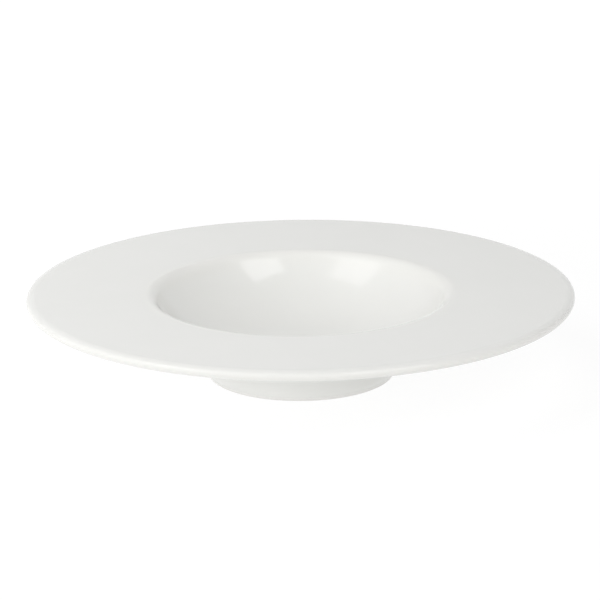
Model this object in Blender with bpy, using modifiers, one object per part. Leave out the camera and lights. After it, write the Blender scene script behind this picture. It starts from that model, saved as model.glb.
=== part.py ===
"""Wide-rimmed soup bowl in glazed white porcelain.

The clay body is formed in one piece: rim, well, wall and foot ring. A thin coat of glaze covers it, apart
from the ring that it stands on, which is wiped bare before the glaze is fired. The glaze inside the foot
ring is a coat of its own, because that bare ring cuts it off from the rest.

Units are metres, +Z is up, and the bowl stands on the plane z = 0 with its axis on Z.
"""

import math

import bpy

NAME = "soup_bowl"

# Driving dimensions, measured on the glazed surface
RIM_RADIUS = 0.140
RIM_HEIGHT = 0.0455  # the lip's upper corner above the table
LIP_ROLL = (0.0029, 0.0013)  # the roll-off starts this far in from that corner, and ends this far down
LIP_THICKNESS = 0.005
RIM_RISE = 0.0016  # the rim climbs this much from the well's edge out to the lip
WELL_RADIUS = 0.0755  # where the lines of the rim and of the well's wall would meet
WELL_FLOOR = 0.009  # the well's lowest point above the table
WALL_ANGLE = math.radians(60)  # the well's wall against the table, at its top
BASE_THICKNESS = 0.0054  # of the floor under the well
RIM_ROOT = (0.0795, 0.0386)  # the outside's corner under the rim, as radius and height
BELLY = (0.0645, 0.0195)  # the outside's corner between the wall and the base
FOOT_ROOT = (0.0499, 0.0112)  # the outside's corner above the foot ring
FOOT_RADIUS = 0.0487  # outside of the foot ring, at the glaze line
FOOT_INNER_RADIUS = 0.0415  # inside of the foot ring, at the glaze line
STANDING_OUTER = 0.0463  # the flat ring that the bowl stands on
STANDING_INNER = 0.0433
RECESS_CORNER = (0.0405, 0.0073)  # where the foot ring's inside meets the recess above it
RECESS_TURN = 0.025  # the recess is level inside this radius, and climbs outside it
GLAZE_LINE = 0.002  # the glaze ends at this height on both sides of the foot ring

# Rounding radii, also on the glazed surface
WELL_ROUND = 0.062
SHOULDER_ROUND = 0.007
LIP_ROLL_ROUND = 0.008
LIP_EDGE_ROUND = 0.0019
LIP_UNDER_ROUND = 0.00245
RIM_ROOT_ROUND = 0.010
BELLY_ROUND = 0.045
FOOT_ROOT_ROUND = 0.006
RECESS_ROUND = 0.067
RECESS_CORNER_ROUND = 0.003

# The coat, and the hairline between it and the clay
GLAZE = 0.00035
CLEARANCE = 0.0003
SKIN = GLAZE + CLEARANCE

# Fineness of the turned shapes
TURN_STEPS = 60
ARC_ERROR = 0.0002  # how far a chord may stray from its arc
LEAST_ARC_STEPS = 2
MERGE = 0.00001

# Finishes, as linear colours and roughness
BISCUIT_COLOUR = (0.80, 0.79, 0.76)
BISCUIT_ROUGHNESS = 0.6
GLAZE_COLOUR = (0.80, 0.80, 0.775)
GLAZE_ROUGHNESS = 0.08


def unit(start, end):
    """The direction from one (radius, height) point to another."""
    length = math.dist(start, end)
    return ((end[0] - start[0]) / length, (end[1] - start[1]) / length)


def outward(direction):
    """The normal of a line that runs along the surface from the axis outwards and down."""
    return (-direction[1], direction[0])


def arc(corner, before, after, radius):
    """Points and normals of the round that replaces a corner between two directions."""
    cross = before[0] * after[1] - before[1] * after[0]
    dot = before[0] * after[0] + before[1] * after[1]
    turn = math.atan2(cross, dot)
    reach = radius * math.tan(abs(turn) / 2)
    side = math.copysign(1, turn)
    first = outward(before)
    centre = [corner[i] - reach * before[i] + side * radius * first[i] for i in range(2)]
    widest_step = 2 * math.acos(1 - ARC_ERROR / radius)
    steps = max(LEAST_ARC_STEPS, math.ceil(abs(turn) / widest_step))
    stations = []
    for step in range(steps + 1):
        angle = turn * step / steps
        normal = (
            first[0] * math.cos(angle) - first[1] * math.sin(angle),
            first[0] * math.sin(angle) + first[1] * math.cos(angle),
        )
        point = tuple(centre[i] - side * radius * normal[i] for i in range(2))
        stations.append((point, normal))
    return stations


def rounded(start, corners, end):
    """Stations along a path: its two ends, and a round at each (point, radius) corner between them."""
    points = [start] + [point for point, _ in corners] + [end]
    stations = [(start, outward(unit(points[0], points[1])))]
    for index, (point, radius) in enumerate(corners, start=1):
        before = unit(points[index - 1], point)
        after = unit(point, points[index + 1])
        stations += arc(point, before, after, radius)
    stations.append((end, outward(unit(points[-2], points[-1]))))
    return stations


def sunk(stations, depth):
    """The points of a path after it is moved into the material by a depth."""
    return [(point[0] - depth * normal[0], point[1] - depth * normal[1]) for point, normal in stations]


def outside_path():
    """The glazed surface from the middle of the well, over the lip, to the glaze line outside the foot."""
    shoulder_height = RIM_HEIGHT - RIM_RISE
    rim_slope = RIM_RISE / (RIM_RADIUS - WELL_RADIUS)
    roll_inset, roll_drop = LIP_ROLL
    wall_run = (shoulder_height - WELL_FLOOR) / math.tan(WALL_ANGLE)
    return rounded(
        (0, WELL_FLOOR),
        [
            ((WELL_RADIUS - wall_run, WELL_FLOOR), WELL_ROUND),
            ((WELL_RADIUS, shoulder_height), SHOULDER_ROUND),
            ((RIM_RADIUS - roll_inset, RIM_HEIGHT - roll_inset * rim_slope), LIP_ROLL_ROUND),
            ((RIM_RADIUS, RIM_HEIGHT - roll_drop), LIP_EDGE_ROUND),
            ((RIM_RADIUS, RIM_HEIGHT - LIP_THICKNESS), LIP_UNDER_ROUND),
            (RIM_ROOT, RIM_ROOT_ROUND),
            (BELLY, BELLY_ROUND),
            (FOOT_ROOT, FOOT_ROOT_ROUND),
        ],
        (FOOT_RADIUS, GLAZE_LINE),
    )


def recess_path():
    """The glazed surface inside the foot ring, from its glaze line to the middle of the recess."""
    ceiling = WELL_FLOOR - BASE_THICKNESS
    return rounded(
        (FOOT_INNER_RADIUS, GLAZE_LINE),
        [(RECESS_CORNER, RECESS_CORNER_ROUND), ((RECESS_TURN, ceiling), RECESS_ROUND)],
        (0, ceiling),
    )


def bare_ring(outer_end, inner_end):
    """The unglazed ring, from one glaze line to the other: two rounded edges and the flat between them."""
    outer_edge = outer_end[0] - STANDING_OUTER
    inner_edge = STANDING_INNER - inner_end[0]
    ring = rounded(
        outer_end,
        [((outer_end[0], 0), outer_edge), ((inner_end[0], 0), inner_edge)],
        inner_end,
    )
    return sunk(ring[1:-1], 0)


def turned(name, profile, material, parent, collection):
    """A named object made by turning a profile of (radius, height) points about Z."""
    mesh = bpy.data.meshes.new(name)
    edges = [(index, index + 1) for index in range(len(profile) - 1)]
    mesh.from_pydata([(radius, 0, height) for radius, height in profile], edges, [])
    mesh.materials.append(material)
    piece = bpy.data.objects.new(name, mesh)
    piece.parent = parent
    collection.objects.link(piece)
    screw = piece.modifiers.new("Turn", "SCREW")
    screw.axis = "Z"
    screw.steps = TURN_STEPS
    screw.render_steps = TURN_STEPS
    screw.use_merge_vertices = True
    screw.merge_threshold = MERGE
    screw.use_smooth_shade = True


def ceramic(name, colour, roughness):
    """A plain ceramic finish."""
    material = bpy.data.materials.new(name)
    material.use_nodes = True
    shader = material.node_tree.nodes["Principled BSDF"]
    shader.inputs["Base Color"].default_value = (*colour, 1)
    shader.inputs["Roughness"].default_value = roughness
    shader.inputs["Metallic"].default_value = 0
    return material


def porcelain_body(parent, collection):
    """The fired clay, formed in one piece."""
    top = sunk(outside_path(), SKIN)
    recess = sunk(recess_path(), SKIN)
    profile = top + bare_ring(top[-1], recess[0]) + recess
    biscuit = ceramic("biscuit", BISCUIT_COLOUR, BISCUIT_ROUGHNESS)
    turned("porcelain_body", profile, biscuit, parent, collection)


def glaze_coat(parent, collection):
    """The unbroken coat over the well, rim, lip, underside and foot."""
    path = outside_path()
    profile = sunk(path, 0) + sunk(path, GLAZE)[::-1]
    glaze = ceramic("white_glaze", GLAZE_COLOUR, GLAZE_ROUGHNESS)
    turned("glaze_coat", profile, glaze, parent, collection)


def foot_recess_glaze(parent, collection):
    """The coat inside the foot ring."""
    path = recess_path()
    profile = sunk(path, GLAZE)[::-1] + sunk(path, 0)
    glaze = ceramic("recess_glaze", GLAZE_COLOUR, GLAZE_ROUGHNESS)
    turned("foot_recess_glaze", profile, glaze, parent, collection)


def build():
    for old in list(bpy.data.objects):
        bpy.data.objects.remove(old, do_unlink=True)
    collection = bpy.data.collections.new(NAME)
    bpy.context.scene.collection.children.link(collection)
    parent = bpy.data.objects.new(NAME, None)
    collection.objects.link(parent)
    porcelain_body(parent, collection)
    glaze_coat(parent, collection)
    foot_recess_glaze(parent, collection)


build()
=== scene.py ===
"""Looks of a wide-rimmed soup bowl in glazed white porcelain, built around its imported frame.

The order is the potter's: the clay body, the glaze over it, the glaze inside the foot ring, and then the
table, the light and the camera. Units are metres, +Z is up, and the bowl stands on z = 0 with its axis on Z.
"""

import math

import bpy
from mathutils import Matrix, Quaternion, Vector


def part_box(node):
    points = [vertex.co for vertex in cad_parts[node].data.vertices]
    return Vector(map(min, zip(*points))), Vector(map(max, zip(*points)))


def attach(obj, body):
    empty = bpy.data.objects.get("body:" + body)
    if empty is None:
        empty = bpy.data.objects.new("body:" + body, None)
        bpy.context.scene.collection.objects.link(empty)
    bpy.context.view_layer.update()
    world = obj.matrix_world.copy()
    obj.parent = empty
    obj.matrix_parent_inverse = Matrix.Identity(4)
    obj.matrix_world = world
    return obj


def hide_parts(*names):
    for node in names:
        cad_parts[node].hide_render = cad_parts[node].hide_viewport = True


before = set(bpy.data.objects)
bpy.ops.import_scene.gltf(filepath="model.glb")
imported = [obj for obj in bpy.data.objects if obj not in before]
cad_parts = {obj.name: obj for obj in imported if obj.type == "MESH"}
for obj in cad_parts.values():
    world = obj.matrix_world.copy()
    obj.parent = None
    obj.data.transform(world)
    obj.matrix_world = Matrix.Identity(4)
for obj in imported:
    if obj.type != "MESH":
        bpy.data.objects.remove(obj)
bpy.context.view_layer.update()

# Porcelain body: rim, well, wall and foot ring in one piece of fine white clay, pressed on a turning mould
# and fired hard. Glaze covers all of it but the ring that it stands on, which is wiped bare before the last
# firing and ground smooth after it.
clay_low, clay_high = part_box("porcelain_body")
clay_radius = clay_high.x
rim_slope = 0.0248  # how fast the rim climbs towards the lip
rim_crest = 0.0038  # from the edge in to the highest point, where the lip starts to roll off
lip_roll_start, lip_roll_drop = 0.00237, 0.001065
lip_thickness = 0.0037
lip_corner_height = clay_high.z + rim_slope * rim_crest
shoulder_radius = 0.0759
shoulder_height = lip_corner_height - rim_slope * (clay_radius - shoulder_radius)
clay_floor = 0.00835
clay_ceiling = 0.00425

# The clay's outline, from the middle of the well over the lip to the middle of the foot recess. Each corner
# is a radius, a height and the radius that rounds it.
clay_upper = {
    "Well middle": (0, clay_floor, 0),
    "Well edge": (0.05573, clay_floor, 0.06265),
    "Shoulder": (shoulder_radius, shoulder_height, 0.00635),
    "Lip roll": (clay_radius - lip_roll_start, lip_corner_height - rim_slope * lip_roll_start, 0.00735),
    "Lip top": (clay_radius, lip_corner_height - lip_roll_drop, 0.00125),
    "Lip underside": (clay_radius, lip_corner_height - lip_thickness, 0.0018),
    "Rim root": (0.07918, 0.03924, 0.01065),
    "Belly": (0.06407, 0.0200, 0.04435),
    "Foot root": (0.0493, 0.0116, 0.00665),
}
clay_foot = {
    "Foot outer edge": (0.0478, clay_low.z, 0.0017),
    "Foot inner edge": (0.0425, clay_low.z, 0.00096),
}
clay_recess = {
    "Recess corner": (0.04101, 0.00809, 0.00365),
    "Recess turn": (0.02492, clay_ceiling, 0.06635),
    "Recess middle": (0, clay_ceiling, 0),
}

# Fineness of all the turned pieces
turn_steps = 192
arc_steps_per_root_metre = 190
rail_radius = 0.05
merge_distance = 0.000005
crisp_edge = math.radians(40)


def add_node(tree, kind, inputs=None, **settings):
    """A node with its settings, and each named input joined to a socket or given a value."""
    node = tree.nodes.new(kind)
    for setting, value in settings.items():
        setattr(node, setting, value)
    for name, value in (inputs or {}).items():
        if isinstance(value, bpy.types.NodeSocket):
            tree.links.new(value, node.inputs[name])
        else:
            node.inputs[name].default_value = value
    return node


def worked_out(tree, operation, *values):
    """The result of a calculation with one to three numbers or sockets."""
    return add_node(tree, "ShaderNodeMath", dict(enumerate(values)), operation=operation).outputs[0]


def turning_tree(name, corners):
    """A node tree that rounds the corners of an outline and turns it about Z, with an input for each."""
    tree = bpy.data.node_groups.new(name, "GeometryNodeTree")
    kinds = {corner: "NodeSocketVector" for corner in corners}
    kinds |= {
        "Turn steps": "NodeSocketInt",
        "Arc steps per root metre": "NodeSocketFloat",
        "Rail radius": "NodeSocketFloat",
        "Merge distance": "NodeSocketFloat",
        "Crisp edge": "NodeSocketFloat",
        "Finish": "NodeSocketMaterial",
    }
    for label, kind in kinds.items():
        tree.interface.new_socket(label, in_out="INPUT", socket_type=kind)
    tree.interface.new_socket("Turned piece", in_out="OUTPUT", socket_type="NodeSocketGeometry")
    sizes = add_node(tree, "NodeGroupInput").outputs

    # The outline: a straight line of as many points as there are corners, each moved to its corner
    line = add_node(tree, "GeometryNodeCurvePrimitiveLine")
    points = add_node(tree, "GeometryNodeResampleCurve", {"Curve": line.outputs[0], "Count": len(corners)})
    corner = add_node(tree, "GeometryNodeIndexSwitch", data_type="VECTOR")
    while len(corner.index_switch_items) < len(corners):
        corner.index_switch_items.new()
    tree.links.new(add_node(tree, "GeometryNodeInputIndex").outputs[0], corner.inputs["Index"])
    for place, label in enumerate(corners, start=1):
        tree.links.new(sizes[label], corner.inputs[place])
    size = add_node(tree, "ShaderNodeSeparateXYZ", {0: corner.outputs[0]}).outputs
    across = worked_out(tree, "SUBTRACT", size["X"], sizes["Rail radius"])
    down = worked_out(tree, "MULTIPLY", size["Y"], -1.0)
    spot = add_node(tree, "ShaderNodeCombineXYZ", {"X": across, "Y": down})
    outline = add_node(tree, "GeometryNodeSetPosition", {0: points.outputs[0], "Position": spot.outputs[0]})

    # Rounds with steps in proportion to the root of the radius, so that all chords stray equally far
    root = worked_out(tree, "SQRT", size["Z"])
    steps = worked_out(tree, "MULTIPLY", root, sizes["Arc steps per root metre"])
    rounded = add_node(
        tree,
        "GeometryNodeFilletCurve",
        {"Curve": outline.outputs[0], "Radius": size["Z"], "Count": steps, "Limit Radius": False},
        mode="POLY",
    )

    # The turning: the rounded outline is carried round a circle that lies flat
    circle = add_node(
        tree,
        "GeometryNodeCurvePrimitiveCircle",
        {"Resolution": sizes["Turn steps"], "Radius": sizes["Rail radius"]},
    )
    rail = add_node(tree, "GeometryNodeSetCurveNormal", {"Curve": circle.outputs[0]}, mode="Z_UP")
    swept = add_node(
        tree, "GeometryNodeCurveToMesh", {"Curve": rail.outputs[0], "Profile Curve": rounded.outputs[0]}
    )
    merged = add_node(
        tree,
        "GeometryNodeMergeByDistance",
        {"Geometry": swept.outputs[0], "Distance": sizes["Merge distance"]},
    )
    smooth = add_node(tree, "GeometryNodeSetShadeSmooth", {"Geometry": merged.outputs[0]}, domain="FACE")
    angle = add_node(tree, "GeometryNodeInputMeshEdgeAngle")
    sharp = add_node(
        tree, "FunctionNodeCompare", {0: angle.outputs[0], 1: sizes["Crisp edge"]}, operation="GREATER_THAN"
    )
    crisp = add_node(
        tree,
        "GeometryNodeSetShadeSmooth",
        {"Geometry": smooth.outputs[0], "Selection": sharp.outputs[0], "Shade Smooth": False},
        domain="EDGE",
    )
    real = add_node(tree, "GeometryNodeRealizeInstances", {"Geometry": crisp.outputs[0]})
    finished = add_node(
        tree, "GeometryNodeSetMaterial", {"Geometry": real.outputs[0], "Material": sizes["Finish"]}
    )
    add_node(tree, "NodeGroupOutput", {0: finished.outputs[0]})
    return tree


def turned(name, corners, finish):
    """A plain mesh object turned from the named corners of its outline."""
    piece = bpy.data.objects.new(name, bpy.data.meshes.new(name))
    bpy.context.scene.collection.objects.link(piece)
    turning = piece.modifiers.new("Turning", "NODES")
    turning.node_group = turning_tree(f"{name}_turning", corners)
    values = {
        **corners,
        "Turn steps": turn_steps,
        "Arc steps per root metre": arc_steps_per_root_metre,
        "Rail radius": rail_radius,
        "Merge distance": merge_distance,
        "Crisp edge": crisp_edge,
        "Finish": finish,
    }
    for socket in turning.node_group.interface.items_tree:
        if socket.in_out == "INPUT":
            turning[socket.identifier] = values[socket.name]
    shaped = piece.evaluated_get(bpy.context.evaluated_depsgraph_get())
    mesh = bpy.data.meshes.new_from_object(shaped)
    piece.modifiers.remove(turning)
    piece.data = mesh
    mesh.name = name
    return piece


def blank_finish(name):
    """A new material, with its node tree, its shader and the piece's own coordinates."""
    finish = bpy.data.materials.new(name)
    finish.use_nodes = True
    tree = finish.node_tree
    shader = tree.nodes["Principled BSDF"]
    place = add_node(tree, "ShaderNodeTexCoord").outputs["Object"]
    return finish, tree, shader, place


def noise(tree, place, size, detail=2.0):
    """Cloudy noise from 0 to 1 around 0.5, with clouds of about the given size."""
    return add_node(
        tree, "ShaderNodeTexNoise", {"Vector": place, "Scale": 1 / size, "Detail": detail}
    ).outputs["Fac"]


def rings_about_z(tree, place, spacing, wobble):
    """Rings round the bowl's axis from 0 to 1, the given spacing apart."""
    return add_node(
        tree,
        "ShaderNodeTexWave",
        {"Vector": place, "Scale": math.pi / 10 / spacing, "Distortion": wobble, "Detail": 1.0},
        wave_type="RINGS",
        rings_direction="Z",
    ).outputs["Fac"]


def ranged(tree, value, low, high, to_low, to_high, interpolation="LINEAR"):
    """A value carried from one range to another, and kept inside it."""
    return add_node(
        tree,
        "ShaderNodeMapRange",
        {"Value": value, "From Min": low, "From Max": high, "To Min": to_low, "To Max": to_high},
        interpolation_type=interpolation,
    ).outputs["Result"]


def mixed(tree, share, first, second):
    """Two colours mixed by a share from 0 to 1."""
    return add_node(
        tree, "ShaderNodeMix", {"Factor": share, 6: first, 7: second}, data_type="RGBA"
    ).outputs[2]


def relief(tree, height, strength, depth, under=None):
    """Small ups and downs of the surface, on top of the relief under them if there is one."""
    inputs = {"Height": height, "Strength": strength, "Distance": depth}
    if under is not None:
        inputs["Normal"] = under
    return add_node(tree, "ShaderNodeBump", inputs).outputs[0]


def bare_biscuit():
    """Fired clay without glaze: matt, with fine grain, and grinding rings and grey wear where it stands."""
    pale, dark, worn = (0.81, 0.803, 0.78, 1), (0.765, 0.755, 0.73, 1), (0.62, 0.615, 0.60, 1)
    pale_roughness, worn_roughness = 0.72, 0.5
    grain_size, grain_detail, grain_strength, grain_depth = 0.0009, 4.0, 0.5, 0.00008
    ring_spacing, ring_wobble, ring_strength, ring_depth = 0.0005, 1.5, 0.4, 0.00004
    blotch_size = 0.012
    standing_height = 0.0003
    finish, tree, shader, place = blank_finish("bare_biscuit")
    grain = noise(tree, place, grain_size, grain_detail)
    fired = mixed(tree, ranged(tree, grain, 0.45, 0.75, 0.0, 0.7), pale, dark)
    height = add_node(tree, "ShaderNodeSeparateXYZ", {0: place}).outputs["Z"]
    standing = ranged(tree, height, 0.0, standing_height, 1.0, 0.0, "SMOOTHSTEP")
    scuffs = ranged(tree, noise(tree, place, blotch_size), 0.45, 0.65, 0.1, 0.8)
    wear = worked_out(tree, "MULTIPLY", standing, scuffs)
    tree.links.new(mixed(tree, wear, fired, worn), shader.inputs["Base Color"])
    roughness = ranged(tree, wear, 0.0, 1.0, pale_roughness, worn_roughness)
    tree.links.new(roughness, shader.inputs["Roughness"])
    rings = rings_about_z(tree, place, ring_spacing, ring_wobble)
    ground = worked_out(tree, "MULTIPLY", rings, standing)
    grainy = relief(tree, grain, grain_strength, grain_depth)
    ringed = relief(tree, ground, ring_strength, ring_depth, under=grainy)
    tree.links.new(ringed, shader.inputs["Normal"])
    return finish


clay_body = turned("clay_body", {**clay_upper, **clay_foot, **clay_recess}, bare_biscuit())
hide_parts("porcelain_body")
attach(clay_body, "root")

# Glaze coat: one unbroken layer of clear white glass over the well, rim, lip and underside, dipped and melted
# on in the second firing. It gathers in the hollows, thins on the lip and on the well's shoulder, and ends in
# a rounded toe above the table.
coat_low, coat_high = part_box("glaze_coat")
coat_thickness = coat_high.x - clay_radius
glaze_line = coat_low.z
toe_thickness = 0.0003
toe_round = 0.00022
thinning_height = 0.006
thinning_round = 0.02
rim_root_reach, foot_root_reach = 0.009, 0.006
lip_edge_drop, lip_edge_reach = 0.0025, 0.0035
shoulder_reach = 0.011


def coated(corners, thickness):
    """The corners of an open outline moved out of the clay. Hollow rounds get tighter, outer ones wider."""
    labels = list(corners)
    points = [Vector(corners[label][:2]) for label in labels]
    ways = [(after - before).normalized() for before, after in zip(points, points[1:])]
    moved = {}
    for index, label in enumerate(labels):
        before = ways[max(index - 1, 0)]
        after = ways[min(index, len(ways) - 1)]
        out_before = Vector((-before.y, before.x))
        out_after = Vector((-after.y, after.x))
        mitre = (out_before + out_after) / (1 + out_before.dot(out_after))
        hollow = before.cross(after) > 0
        rounding = corners[label][2]
        if rounding:
            rounding += -thickness if hollow else thickness
        moved[label] = (*(points[index] + thickness * mitre), rounding)
    return moved


def on_line(start, end, height):
    """The radius at a height on the straight line between two corners."""
    share = (height - start[1]) / (end[1] - start[1])
    return start[0] + share * (end[0] - start[0])


def fired_glaze(name, hollows, edges, ridge_spacing=None):
    """White glaze: clear and glossy, deeper where it gathers in hollows, thinner and duller on edges.

    A hollow or an edge is a ring round the bowl: its radius, its height and its reach. Ridges are the turning
    lines of the clay under the glaze.
    """
    white, milky = (0.805, 0.805, 0.782, 1), (0.795, 0.797, 0.772, 1)
    gathered, thin = (0.785, 0.790, 0.764, 1), (0.803, 0.800, 0.772, 1)
    least_roughness, most_roughness, thin_roughness = 0.02, 0.04, 0.14
    glass_ior = 1.5
    cloud_size, gloss_size, cloud_detail = 0.045, 0.018, 3.0
    wave_size, wave_strength, wave_depth = 0.028, 0.12, 0.0003
    peel_size, peel_strength, peel_depth = 0.0028, 0.1, 0.00002
    ridge_wobble, ridge_strength, ridge_depth = 0.6, 0.3, 0.00008
    plain_detail = 1.0
    finish, tree, shader, place = blank_finish(name)
    split = add_node(tree, "ShaderNodeSeparateXYZ", {0: place}).outputs
    flat = add_node(tree, "ShaderNodeCombineXYZ", {"X": split["X"], "Y": split["Y"]}).outputs[0]
    radius = add_node(tree, "ShaderNodeVectorMath", {0: flat}, operation="LENGTH").outputs["Value"]
    spot = add_node(tree, "ShaderNodeCombineXYZ", {"X": radius, "Z": split["Z"]}).outputs[0]

    def near(rings):
        """How close a point is to the nearest of some rings, from 0 to 1."""
        share = None
        for ring_radius, ring_height, reach in rings:
            ring = (ring_radius, 0, ring_height)
            away = add_node(tree, "ShaderNodeVectorMath", {0: spot, 1: ring}, operation="DISTANCE")
            close = ranged(tree, away.outputs["Value"], 0.0, reach, 1.0, 0.0, "SMOOTHSTEP")
            share = close if share is None else worked_out(tree, "MAXIMUM", share, close)
        return share

    clouds = ranged(tree, noise(tree, place, cloud_size, cloud_detail), 0.35, 0.65, 0.0, 1.0)
    colour = mixed(tree, clouds, white, milky)
    colour = mixed(tree, near(hollows), colour, gathered)
    gloss = noise(tree, place, gloss_size, cloud_detail)
    roughness = ranged(tree, gloss, 0.3, 0.7, least_roughness, most_roughness)
    if edges:
        dry = near(edges)
        colour = mixed(tree, dry, colour, thin)
        roughness = worked_out(tree, "MULTIPLY_ADD", dry, thin_roughness, roughness)
    tree.links.new(colour, shader.inputs["Base Color"])
    tree.links.new(roughness, shader.inputs["Roughness"])
    shader.inputs["IOR"].default_value = glass_ior
    waves = noise(tree, place, wave_size, plain_detail)
    peel = noise(tree, place, peel_size, plain_detail)
    surface = relief(tree, waves, wave_strength, wave_depth)
    surface = relief(tree, peel, peel_strength, peel_depth, under=surface)
    if ridge_spacing:
        ridges = rings_about_z(tree, place, ridge_spacing, ridge_wobble)
        surface = relief(tree, ridges, ridge_strength, ridge_depth, under=surface)
    tree.links.new(surface, shader.inputs["Normal"])
    return finish


foot_wall = (clay_upper["Foot root"], clay_foot["Foot outer edge"])
clay_toe = on_line(*foot_wall, glaze_line)
thinning = (on_line(*foot_wall, thinning_height), thinning_height, thinning_round)
dipped = coated({**clay_upper, "Thinning": thinning}, coat_thickness)
coat_corners = {
    **{f"{label}, glazed": corner for label, corner in dipped.items()},
    "Toe": (clay_toe + toe_thickness, glaze_line, toe_round),
    "Toe on the clay": (clay_toe, glaze_line, 0),
    **{f"{label}, clay side": clay_upper[label] for label in reversed(clay_upper)},
}
coat_hollows = [(*dipped["Rim root"][:2], rim_root_reach), (*dipped["Foot root"][:2], foot_root_reach)]
coat_edges = [
    (coat_high.x, coat_high.z - lip_edge_drop, lip_edge_reach),
    (*dipped["Shoulder"][:2], shoulder_reach),
]
dipped_white_glaze = fired_glaze("dipped_white_glaze", coat_hollows, coat_edges)
white_coat = turned("white_glaze_coat", coat_corners, dipped_white_glaze)
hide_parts("glaze_coat")
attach(white_coat, "root")

# Foot recess glaze: the same white glass inside the foot ring, cut off from the rest by the bare ring. It
# lies deepest in the corner under the ring, and shows the turning lines of the clay under it.
recess_corner_reach = 0.007
turning_line_spacing = 0.0014
recess_wall = (clay_foot["Foot inner edge"], clay_recess["Recess corner"])
recess_clay_toe = on_line(*recess_wall, glaze_line)
recess_clay = {"Recess toe on the clay": (recess_clay_toe, glaze_line, 0), **clay_recess}
recess_dipped = coated(recess_clay, coat_thickness)
recess_corners = {
    **{f"{label}, clay side": recess_clay[label] for label in reversed(recess_clay)},
    "Recess toe": (recess_clay_toe - toe_thickness, glaze_line, toe_round),
    **{f"{label}, glazed": recess_dipped[label] for label in clay_recess},
}
recess_hollows = [(*recess_dipped["Recess corner"][:2], recess_corner_reach)]
recess_white_glaze = fired_glaze("recess_white_glaze", recess_hollows, [], turning_line_spacing)
recess_coat = turned("recess_glaze_coat", recess_corners, recess_white_glaze)
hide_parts("foot_recess_glaze")
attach(recess_coat, "root")

# Table: a wide plain sheet of white acrylic, which runs out of sight on all sides. Light from below, more of
# it on the left, brightens the rim's underside. The sheet looks white to the camera and in the glaze, whiter
# further away, and keeps the bowl's soft shadow.
table_reach = 3.0
table_gap = 0.00005
acrylic_white = (0.25, 0.25, 0.25, 1)
acrylic_light_left, acrylic_light_right = 0.90, 0.50
acrylic_light_reach = 0.3
shadow_white = (0.16, 0.16, 0.16, 1)
shown_near, shown_far = 0.88, 0.99
shown_reach = (0.2, 0.9)


def seen_directly(tree):
    """1 for rays from the camera, in a reflection or through glass, and 0 for light that falls on things."""
    path = add_node(tree, "ShaderNodeLightPath").outputs
    seen_or_mirrored = worked_out(tree, "MAXIMUM", path["Is Camera Ray"], path["Is Glossy Ray"])
    return worked_out(tree, "MAXIMUM", seen_or_mirrored, path["Is Transmission Ray"])


acrylic = bpy.data.materials.new("lit_white_acrylic")
acrylic.use_nodes = True
sheet = acrylic.node_tree
sheet.nodes.remove(sheet.nodes["Principled BSDF"])
spot = add_node(sheet, "ShaderNodeTexCoord").outputs["Object"]
to_right = add_node(sheet, "ShaderNodeSeparateXYZ", {0: spot}).outputs["X"]
light_below = ranged(
    sheet, to_right, -acrylic_light_reach, acrylic_light_reach, acrylic_light_left, acrylic_light_right
)
away = add_node(sheet, "ShaderNodeVectorMath", {0: spot}, operation="LENGTH").outputs["Value"]
shown_light = ranged(sheet, away, *shown_reach, shown_near, shown_far, "SMOOTHSTEP")
sheet_faces = []
for white, strength in ((acrylic_white, light_below), (shadow_white, shown_light)):
    face = add_node(sheet, "ShaderNodeBsdfDiffuse", {"Color": white}).outputs[0]
    glow = add_node(sheet, "ShaderNodeEmission", {"Strength": strength}).outputs[0]
    sheet_faces.append(add_node(sheet, "ShaderNodeAddShader", {0: face, 1: glow}).outputs[0])
sheet_mix = add_node(
    sheet, "ShaderNodeMixShader", {0: seen_directly(sheet), 1: sheet_faces[0], 2: sheet_faces[1]}
)
sheet.links.new(sheet_mix.outputs[0], sheet.nodes["Material Output"].inputs["Surface"])
table_mesh = bpy.data.meshes.new("table")
table_height = clay_low.z - table_gap
table_mesh.from_pydata(
    [(x * table_reach, y * table_reach, table_height) for x, y in ((-1, -1), (1, -1), (1, 1), (-1, 1))],
    [],
    [(0, 1, 2, 3)],
)
table_mesh.materials.append(acrylic)
table = bpy.data.objects.new("table", table_mesh)
bpy.context.scene.collection.objects.link(table)

# Studio light: two soft boxes high at the front, whose bright patches show on the far wall of the well, and
# large cloth panels round the bowl, most of them on the left, which don't show in the glaze. The room looks
# white, and gives some soft light from the front and the right.
bowl_middle = Vector((0, 0, coat_high.z / 2))
watts_per_radiance = math.pi  # for each square metre of a lamp's face
even_light = 0.08
front_light = 0.28
right_light = 0.50
plain_white = (1, 1, 1, 1)

world = bpy.data.worlds.new("white_room")
bpy.context.scene.world = world
world.use_nodes = True
room = world.node_tree
room.nodes.remove(room.nodes["Background"])
way = add_node(room, "ShaderNodeTexCoord").outputs["Generated"]
side = add_node(room, "ShaderNodeSeparateXYZ", {0: way}).outputs
from_front = ranged(room, side["Y"], -1.0, 0.0, even_light + front_light, even_light)
from_right = ranged(room, side["X"], 0.0, 1.0, 0.0, right_light)
from_both = worked_out(room, "ADD", from_front, from_right)
room_light = add_node(room, "ShaderNodeBackground", {"Color": plain_white, "Strength": from_both}).outputs[0]
backdrop = add_node(room, "ShaderNodeBackground", {"Color": plain_white, "Strength": 1.0}).outputs[0]
room_mix = add_node(room, "ShaderNodeMixShader", {0: seen_directly(room), 1: room_light, 2: backdrop})
room.links.new(room_mix.outputs[0], room.nodes["World Output"].inputs["Surface"])


def direction(azimuth, elevation):
    """The way to a lamp. Azimuth 0 is the camera's side and turns to the right, in degrees."""
    turn, climb = math.radians(azimuth), math.radians(elevation)
    return Vector((math.sin(turn) * math.cos(climb), -math.cos(turn) * math.cos(climb), math.sin(climb)))


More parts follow.
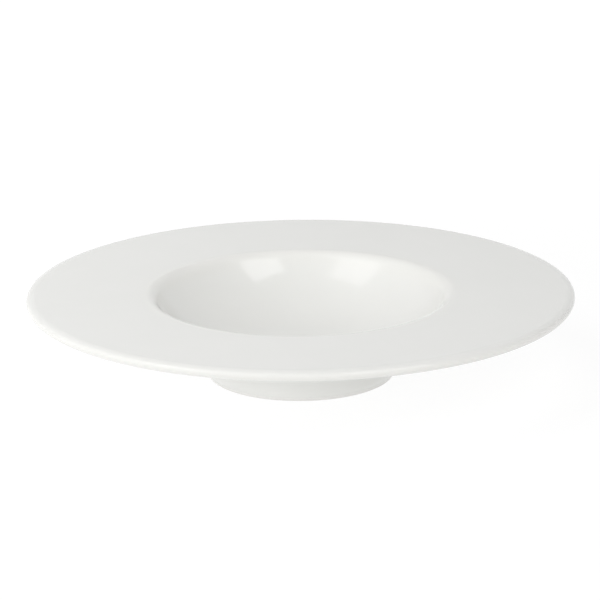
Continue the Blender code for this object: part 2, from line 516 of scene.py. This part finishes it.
def soft_box(name, place, distance, across, upright, radiance, facing=None, shows=False):
    """A lamp with a flat bright face, turned to the bowl unless it has a facing. It may show in the glaze."""
    lamp = bpy.data.lights.new(name, "AREA")
    lamp.shape = "RECTANGLE"
    lamp.size, lamp.size_y = across, upright
    lamp.energy = radiance * watts_per_radiance * across * upright
    stand = bpy.data.objects.new(name, lamp)
    stand.location = bowl_middle + distance * direction(*place)
    stand.rotation_euler = direction(*(facing or place)).to_track_quat("Z", "Y").to_euler()
    stand.visible_camera = False
    stand.visible_glossy = shows
    bpy.context.scene.collection.objects.link(stand)


soft_box(
    "key_box",
    place=(-60.8, 48.6),
    distance=1.301,
    across=0.70,
    upright=0.721,
    radiance=1.6,
    facing=(-50, 20),
    shows=True,
)
soft_box(
    "fill_box",
    place=(40.5, 48.0),
    distance=1.281,
    across=0.615,
    upright=0.681,
    radiance=2.2,
    facing=(46, 20),
    shows=True,
)
soft_box("fill_panel", place=(39, 40), distance=1.5, across=1.2, upright=1.0, radiance=0.75)
soft_box("low_front_panel", place=(0, 12), distance=1.5, across=1.4, upright=0.6, radiance=1.3)
soft_box("low_left_panel", place=(-59, 13), distance=1.5, across=1.15, upright=0.65, radiance=2.2)
soft_box("back_left_panel", place=(-110, 30), distance=1.5, across=1.2, upright=1.0, radiance=1.65)
soft_box("top_left_panel", place=(-90, 62), distance=0.75, across=0.5, upright=0.5, radiance=1.63)

# Light runs round inside the well in many shallow reflections, so more of them are followed than usual
followed_reflections = 12
bpy.context.scene.cycles.glossy_bounces = followed_reflections

# Camera: a long lens a little above the rim, as the bowl is seen from a chair across the table. It aims just
# below the rim, and is rolled by about half a degree.
camera_distance = 1.4
camera_elevation = math.radians(16.25)
camera_roll = math.radians(0.57)
rim_plane = 0.04568
aim_side, aim_drop = -0.0003, 0.0067
film_width, focal_length = 36, 164.0
aim = Vector((aim_side, 0, rim_plane - aim_drop))
lens = bpy.data.cameras.new("view")
lens.sensor_width = film_width
lens.lens = focal_length
view = bpy.data.objects.new("view", lens)
view.location = (
    0,
    -camera_distance * math.cos(camera_elevation),
    rim_plane + camera_distance * math.sin(camera_elevation),
)
level = (aim - view.location).to_track_quat("-Z", "Y")
view.rotation_euler = (level @ Quaternion((0, 0, 1), -camera_roll)).to_euler()
bpy.context.scene.collection.objects.link(view)
bpy.context.scene.camera = view
bpy.context.scene.view_settings.view_transform = "Standard"
